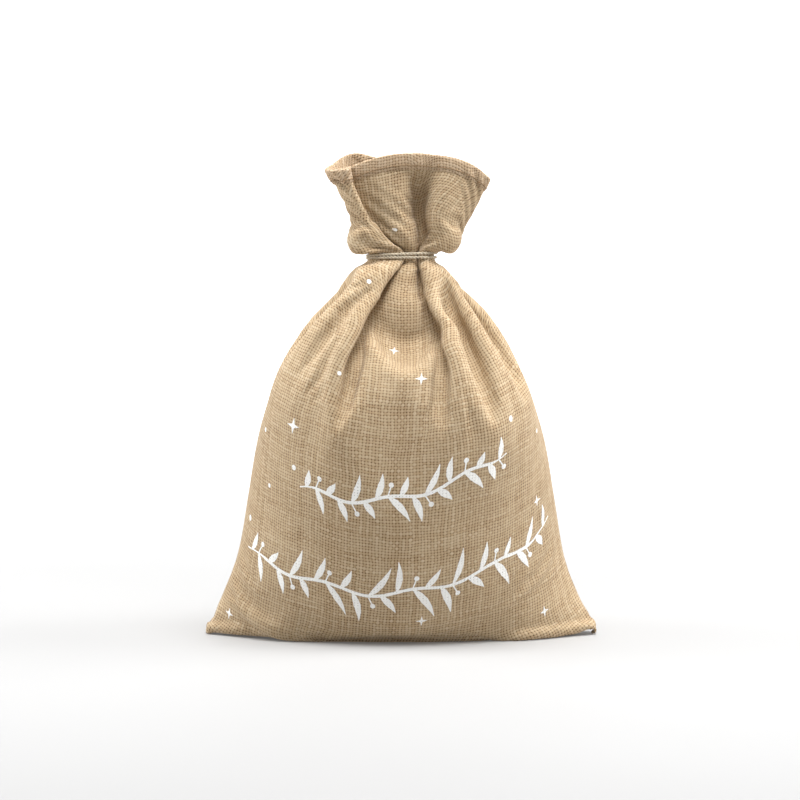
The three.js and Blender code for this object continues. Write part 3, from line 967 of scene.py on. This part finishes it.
def make_seam(word, line, inward, normal, thread, cloth_material, thread_material):
    """A seam's allowance and its stitches, from the points of the seam. thread is how far in from
    the edge the stitches run, how far off the allowance's middle, and on which of its faces."""
    inset, lift, ways = thread
    inward, normal = np.array(inward, float), np.array(normal, float)
    piece = word + ("_seam_cloth" if word == "bottom" else "_side_seam_cloth")
    allowance = strip(piece, line, inward, normal)
    dress(allowance, cloth_material, (f"{word}_seam_allowance",), "sack")
    parts = Parts()
    held = even(line + inward * inset * MM, len(line))
    for i in range(0, len(held) - 2, 2):
        for way in ways:
            off = normal * (way * lift * MM)
            stitch(parts, held[i] + off, held[i + 1] + off, normal * way)
    threads = parts.build(piece.replace("cloth", "threads"))
    dress(threads, thread_material, (f"{word}_seam_stitching",), "sack")


def make_seams(cloth, cloth_material, thread_material):
    """The two side seams, up to where the gathers start, and the bottom seam, folded flat inside."""
    both = (cloth_material, thread_material)
    for word, column, side in (("left", 0, 1), ("right", -1, -1)):
        line = cloth.points[FRONT, 3:, column]
        line = line[line[:, 2] < 0.225] + np.array([side * 1.6 * MM, 0, 0])
        make_seam(word, line, (side, 0, 0), (0, 1, 0), (1.2, 1.0, (-1, 1)), *both)
    line = cloth.points[FRONT, 0, 5:-5] + np.array([0, MM, 1.7 * MM])
    make_seam("bottom", line, (0, 1, 0), (0, 0, 1), (1.4, 0.9, (1,)), *both)


def crumple(x, y, z):
    """Folded ridges like those of crushed tissue, from 0 to 1."""
    total = np.zeros_like(x)
    for k, (scale, share) in enumerate(((32, 0.5), (61, 0.3), (117, 0.2))):
        a = np.sin(scale * (x + 0.7 * z) + 1.3 * k) + np.sin(scale * (0.8 * y - 1.1 * z) + 2.7 * k)
        b = np.sin(scale * (0.9 * z - 0.6 * x) + 0.4 * k) + np.sin(scale * (y + 0.5 * x) + k)
        total += share * (1 - np.minimum(np.abs(a + b) / 2, 1))
    return total


def make_filling(material):
    """Crumpled tissue that fills the sack up to its shoulders, domed on top."""
    rings, turns = 72, 128
    low, high = 4 * MM, 226 * MM
    t = np.linspace(0, 1, rings)[:, None]
    z = low + (high - low) * (0.5 - 0.5 * np.cos(t * math.pi))
    cap = np.sqrt(np.clip(1 - ((t - 0.5) * 2) ** 8, 0, 1))
    angle = np.linspace(0, 2 * math.pi, turns, endpoint=False)
    gap = 0.004 + 0.026 * smoothstep((z - 0.15) / 0.09)
    x = (half_width(z) - gap * 1.6 - 12 * MM) * cap * np.cos(angle)
    bulge = np.maximum(1 - np.cos(angle) ** 2, 0) ** roundness(z)
    y = (half_depth(z) - gap) * cap * bulge * np.sign(np.sin(angle))
    z = np.broadcast_to(z, x.shape)
    press = 1 - 0.09 * (1 - crumple(x, y, z))
    verts = np.stack([x * press, y * press, z], -1)
    for end in (0, -1):
        verts[end] = verts[end].mean(0)
    index = np.arange(rings * turns).reshape(rings, turns)
    ahead = np.roll(index, -1, 1)
    faces = np.stack([index[:-1], ahead[:-1], ahead[1:], index[1:]], -1).reshape(-1, 4)
    obj = mesh_object("crumpled_tissue", verts.reshape(-1, 3), faces)
    dress(obj, material, ("tissue_filling",), "sack")


# ---- The cord ----
def hull(points):
    """The convex outline of points in a plane, anticlockwise."""
    pts = sorted(map(tuple, points))
    lower, upper = [], []
    for chain, source in ((lower, pts), (upper, pts[::-1])):
        for p in source:
            while len(chain) > 1:
                (ax, ay), (bx, by) = chain[-2], chain[-1]
                if (bx - ax) * (p[1] - ay) - (by - ay) * (p[0] - ax) > 0:
                    break
                chain.pop()
            chain.append(p)
    return np.array(lower[:-1] + upper[:-1])


def tie_outline(cloth):
    """The line that a taut cord takes round the gathered neck, seen from above."""
    row = int(round(TIE_ROW / ROWS * FINE_ROWS))
    near = slice(row - 1, row + 2)
    outer = (cloth.points + cloth.normal * CLOTH_THICK / 2)[:, near]
    corner = hull(outer[..., :2].reshape(-1, 2))
    angle = np.arctan2(corner[:, 1], corner[:, 0])
    corner = corner[np.argsort(angle)]
    closed = np.concatenate([corner, corner[:1]])
    s = travel(closed)
    q = np.linspace(0, s[-1], 160, endpoint=False)
    line = np.stack([np.interp(q, s, closed[:, c]) for c in (0, 1)], 1)
    for _ in range(6):
        line = (line + np.roll(line, 1, 0) + np.roll(line, -1, 0)) / 3
    ahead = unit(np.roll(line, -1, 0) - np.roll(line, 1, 0))
    return line + np.stack([ahead[:, 1], -ahead[:, 0]], 1) * CORD_DIAMETER * 0.5


def tie_path(cloth):
    """Two turns of cord round the neck, from the knot and back to it."""
    line = tie_outline(cloth)
    count = len(line)
    start = int(np.argmin(abs(np.arctan2(line[:, 1], line[:, 0]) - math.pi / 2 - 0.12)))
    turns = 2 * count - 6
    k = np.arange(turns)
    flat = line[(start + k) % count]
    share = k / (turns - 1)
    z = NECK_HEIGHT + (share - 0.5) * 5 * MM + 0.5 * MM * np.sin(share * 9)
    return np.concatenate([flat, z[:, None]], 1)


def make_tie(cloth, material):
    parts = Parts()
    twisted(parts, even(tie_path(cloth), 420), CORD_DIAMETER)
    dress(parts.build("cord_round_neck"), material, ("neck_tie",), "sack")


def overhand(centre, size, across_dir, up_dir, out_dir):
    """A closed overhand knot of that size: the cord's centreline."""
    t = np.linspace(0, 2 * math.pi, 110)
    x = (np.sin(t) + 2 * np.sin(2 * t)) / 3
    y = (np.cos(t) - 2 * np.cos(2 * t)) / 3
    z = -np.sin(3 * t)
    return (centre + np.outer(x, across_dir) * size[0] + np.outer(y, up_dir) * size[1]
            + np.outer(z, out_dir) * size[2])


def make_neck_knot(material):
    """The knot at the back that joins the turns and the two tails."""
    low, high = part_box("tie_knot")
    centre, half = (np.array(low) + np.array(high)) / 2, (np.array(high) - np.array(low)) / 2
    reach = half - CORD_DIAMETER / 2
    parts = Parts()
    path = overhand(centre, (reach[0] * 1.05, reach[2] * 1.05, max(reach[1], 0.8 * MM)),
                    (1, 0, 0), (0, 0, 1), (0, 1, 0))
    twisted(parts, path, CORD_DIAMETER, lay=5.8 * MM)
    for sign in (-1, 1):
        lead = np.array([[sign * 3.4, 20.6, 275.2], [sign * 3.0, 20.8, 277.5], [sign * 1.2, 20.9, 280.3]])
        twisted(parts, even(lead * MM, 14), CORD_DIAMETER * 0.96)
    dress(parts.build("cord_knot"), material, ("tie_knot",), "sack")


def make_tail(side, material):
    """One hanging end of the cord, with an overhand knot and a frayed tip."""
    sign, word = ((-1, "left"), (1, "right"))[side]
    route = even(np.array(TAIL_ROUTE) * np.array([sign, 1, 1]) * MM, 121)
    parts = Parts()
    twisted(parts, route, CORD_DIAMETER)
    tail = parts.build(f"{word}_tail_cord")
    along = unit(route[-1] - route[-2])
    centre = route[-1] + along * 2.9 * MM
    side_dir = unit(np.cross(along, [0, 1.0, 0]))
    out_dir = np.cross(side_dir, along)
    parts = Parts()
    ball = overhand(centre, (1.75 * MM, 1.75 * MM, 1.0 * MM), side_dir, along, out_dir)
    twisted(parts, ball, CORD_DIAMETER * 0.9, lay=5.5 * MM)
    spread = np.random.default_rng(31 + side)
    for _ in range(16):
        lean = unit(along + spread.normal(0, 0.16, 3))
        foot = centre + along * 1.2 * MM + spread.normal(0, 0.45, 3) * MM
        tip = foot + lean * spread.uniform(2.0, 3.6) * MM
        middle = (foot + tip) / 2 + spread.normal(0, 0.25, 3) * MM
        tube(parts, even(np.array([foot, middle, tip]), 6), np.linspace(0.2, 0.08, 6) * MM, 5)
    knot = parts.build(f"{word}_tail_end_knot")
    for obj, node in ((tail, f"{word}_tail"), (knot, f"{word}_tail_knot")):
        dress(obj, material, (node,), f"{word}_tail_end")


# ---- The print ----
INK_LIFT = 0.22 * MM


def ink_patch(parts, cloth, u, v):
    """A patch of ink on the front panel, from a grid of flat cloth points in millimetres."""
    p, n, uv = cloth.at(u * MM, v * MM)
    parts.add(p + n * (CLOTH_THICK / 2 + INK_LIFT), grid_faces(*p.shape[:2], 0, True), uv)


def stroke(parts, cloth, line, width):
    """A brush stroke along line, with one width for each of its points, in millimetres."""
    t = unit(np.gradient(line, axis=0))
    side = np.stack([-t[:, 1], t[:, 0]], 1)
    ragged = 1 + 0.06 * np.sin(np.arange(len(line)) * 2.4 + line[0, 0])
    shares = np.linspace(-0.5, 0.5, 5)
    grid = line[:, None] + side[:, None] * (shares[None, :, None] * (width * ragged)[:, None, None])
    ink_patch(parts, cloth, grid[..., 0], grid[..., 1])


def leaf(parts, cloth, root, angle, length, width):
    """One tapered leaf that bends a little, from root."""
    t = np.linspace(0, 1, 12)
    bend = angle + 0.5 * (t - 0.3) * np.sign(math.cos(angle) + 1e-3) * np.sign(math.sin(angle))
    step = length / 11
    way = np.stack([np.cos(bend), np.sin(bend)], 1)[1:]
    line = root + np.concatenate([[[0, 0]], np.cumsum(way, 0) * step])
    stroke(parts, cloth, line, width * np.sin(math.pi * np.clip(t, 0.02, 0.985) ** 0.8) + 0.25)


def star(parts, cloth, u, v, size, points):
    """A small star, or a dot where points is 0, size across in millimetres."""
    spokes = points * 2 or 12
    angle = np.linspace(0, 2 * math.pi, spokes + 1) + math.pi / 2
    reach = np.ones(spokes + 1)
    if points:
        reach[1::2] = 0.3
    shrink = cloth_share(u, v)
    rings = np.array([0.02, 0.5, 1.0])[:, None] * reach * size / 2
    ink_patch(parts, cloth, u + rings * np.cos(angle) / shrink, v + rings * np.sin(angle))


def cloth_share(u, v):
    """How much of the cloth's width shows at v, where gathers hide the rest."""
    tie = np.interp(u / (CLOTH_WIDTH / MM) * 2 - 1, across, tie_length[FRONT]) / MM
    return float(0.42 + 0.58 * smoothstep((tie - v) / 85))


def garland(parts, cloth, ends, sag, leaves, reach, lean):
    """A leafy sprig along a sagging stem between two flat points, with leaves on both sides."""
    (u0, v0), (u1, v1) = ends
    t = np.linspace(0, 1, 90)
    u = u0 + (u1 - u0) * t
    v = v0 + (v1 - v0) * t - sag * np.sin(math.pi * t) + 2.2 * np.sin(t * math.pi * leaves / 3)
    stem = np.stack([u, v], 1)
    stroke(parts, cloth, stem, 2.4 * np.clip(np.sin(math.pi * np.clip(t, 0.03, 0.97)) * 3, 0.4, 1))
    way = np.arctan2(np.gradient(v), np.gradient(u))
    for k in range(leaves):
        place = (k + 0.7) / (leaves + 0.4)
        i = int(place * 89)
        up = 1 if k % 2 == 0 else -1
        length = reach * (0.78 + 0.22 * math.sin(k * 2.1)) * (0.62 + 0.38 * math.sin(math.pi * place))
        tilt = way[i] + up * (lean + 0.16 * math.sin(k * 1.7))
        leaf(parts, cloth, stem[i], tilt, length, 4.6 + 0.6 * math.sin(k * 3.1))
        if k % 3 == 1:
            out = way[i] - up * 1.15
            berry = stem[i] + np.array([math.cos(out), math.sin(out)]) * 8.5
            stroke(parts, cloth, np.linspace(stem[i], berry, 6), np.full(6, 1.0))
            star(parts, cloth, berry[0], berry[1], 3.8, 0)


STARS = [  # millimetres across and up the flat front panel, size, and the number of points
    (128, 384, 3.2, 0), (64, 312, 3.4, 0), (138, 280, 8.5, 4), (158, 243, 9.5, 4),
    (185, 276, 3.4, 0), (30, 262, 3.2, 0), (62, 191, 12, 4), (27, 176, 3.4, 0), (66, 162, 4, 0),
    (40, 140, 3.2, 0), (233, 199, 4.4, 0), (269, 176, 3.2, 0), (264, 127, 8.5, 4),
    (17, 106, 4.4, 0), (14, 30, 8.5, 4), (166, 64, 8.5, 4), (262, 44, 8.5, 4), (88, 238, 3, 0),
]


def make_print(cloth, material):
    parts = Parts()
    garland(parts, cloth, ((72, 150), (226, 179)), 6, 17, 25, 0.98)
    garland(parts, cloth, ((20, 86), (277, 107)), 9, 25, 30, 0.96)
    for entry in STARS:
        star(parts, cloth, *entry)
    printed = parts.build("printed_garlands")
    printed.data.materials.append(material)
    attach(printed, "sack")


# ---- Studio ----
def make_studio():
    scene = bpy.context.scene
    scene.view_settings.view_transform = "Standard"
    floor = mesh_object("studio_floor", [(-6, -6, 0), (6, -6, 0), (6, 9, 0), (-6, 9, 0)], [(0, 1, 2, 3)])
    s = Shader("pale_floor", 0.7)
    grain = s.noise(s.position(), 3.0, 2)
    colour = s.colours(grain, [(0, (0.42, 0.42, 0.42)), (1, (0.45, 0.45, 0.45))])
    split = s.node("ShaderNodeSeparateXYZ")
    s.link(s.position(), split.inputs[0])
    # Painted light: the floor glows, faintly near the sack and more strongly towards the back, so it reads
    # white away from the sack while the shadow under the sack stays.
    s.glow(s.ramp(split.outputs["Y"], 0.15, 1.4, 0.08, 0.85))
    floor.data.materials.append(s.finish(colour, s.bump(grain, 0.05 * MM, 0.1)))
    wall = mesh_object("studio_backdrop", [(-2, 2.4, 0), (2, 2.4, 0), (2, 2.4, 1.3), (-2, 2.4, 1.3)],
                       [(0, 1, 2, 3)])
    s = Shader("white_backdrop", 0.9)
    s.glow(1.0)
    wall.data.materials.append(s.material)
    world = bpy.data.worlds.new("studio_air")
    scene.world = world
    world.use_nodes = True
    back = world.node_tree.nodes["Background"]
    back.inputs["Color"].default_value = (1, 1, 1, 1)
    back.inputs["Strength"].default_value = 0.3
    soft_light("right_softbox", (1.1, 0.05, 0.65), 13, 0.7)
    soft_light("left_softbox", (-1.1, 0.15, 0.6), 12, 0.7)
    soft_light("overhead_softbox", (0.1, -0.25, 1.35), 23, 0.8)


def soft_light(name, place, power, size):
    data = bpy.data.lights.new(name, "AREA")
    data.energy = power
    data.size = size
    light = bpy.data.objects.new(name, data)
    light.location = place
    light.rotation_euler = (Vector((0, 0, 0.17)) - Vector(place)).to_track_quat("-Z", "Y").to_euler()
    bpy.context.scene.collection.objects.link(light)


# ---- Everything ----
make_camera()
twine = cord_material("twine", (0.44, 0.36, 0.25), (0.82, 0.74, 0.59))
for side in (0, 1):
    make_tail(side, twine)

relaxed, rest_across, rest_along = relax(first_shape(), 320)
cloth = Cloth(relaxed, rest_across, rest_along)

jute = woven_material("jute_weave", JUTE)
hem_jute = woven_material("jute_hem_weave", JUTE_HEM, density=1.04)
ink = woven_material("ink_on_jute", JUTE, inked=True)
thread = cord_material("sewing_thread", (0.2, 0.12, 0.056), (0.4, 0.27, 0.145))

panels, hems, lines = ([make(cloth, panel, word, material) for panel, word in enumerate(("front", "back"))]
                       for make, material in ((make_panel, jute), (make_hem, hem_jute),
                                              (make_hem_stitching, thread)))
make_seams(cloth, hem_jute, thread)
make_filling(paper_material("tissue"))
make_tie(cloth, twine)
make_neck_knot(twine)
make_print(cloth, ink)
make_studio()

for obj, hem, line in zip(panels, hems, lines):
    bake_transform(obj)
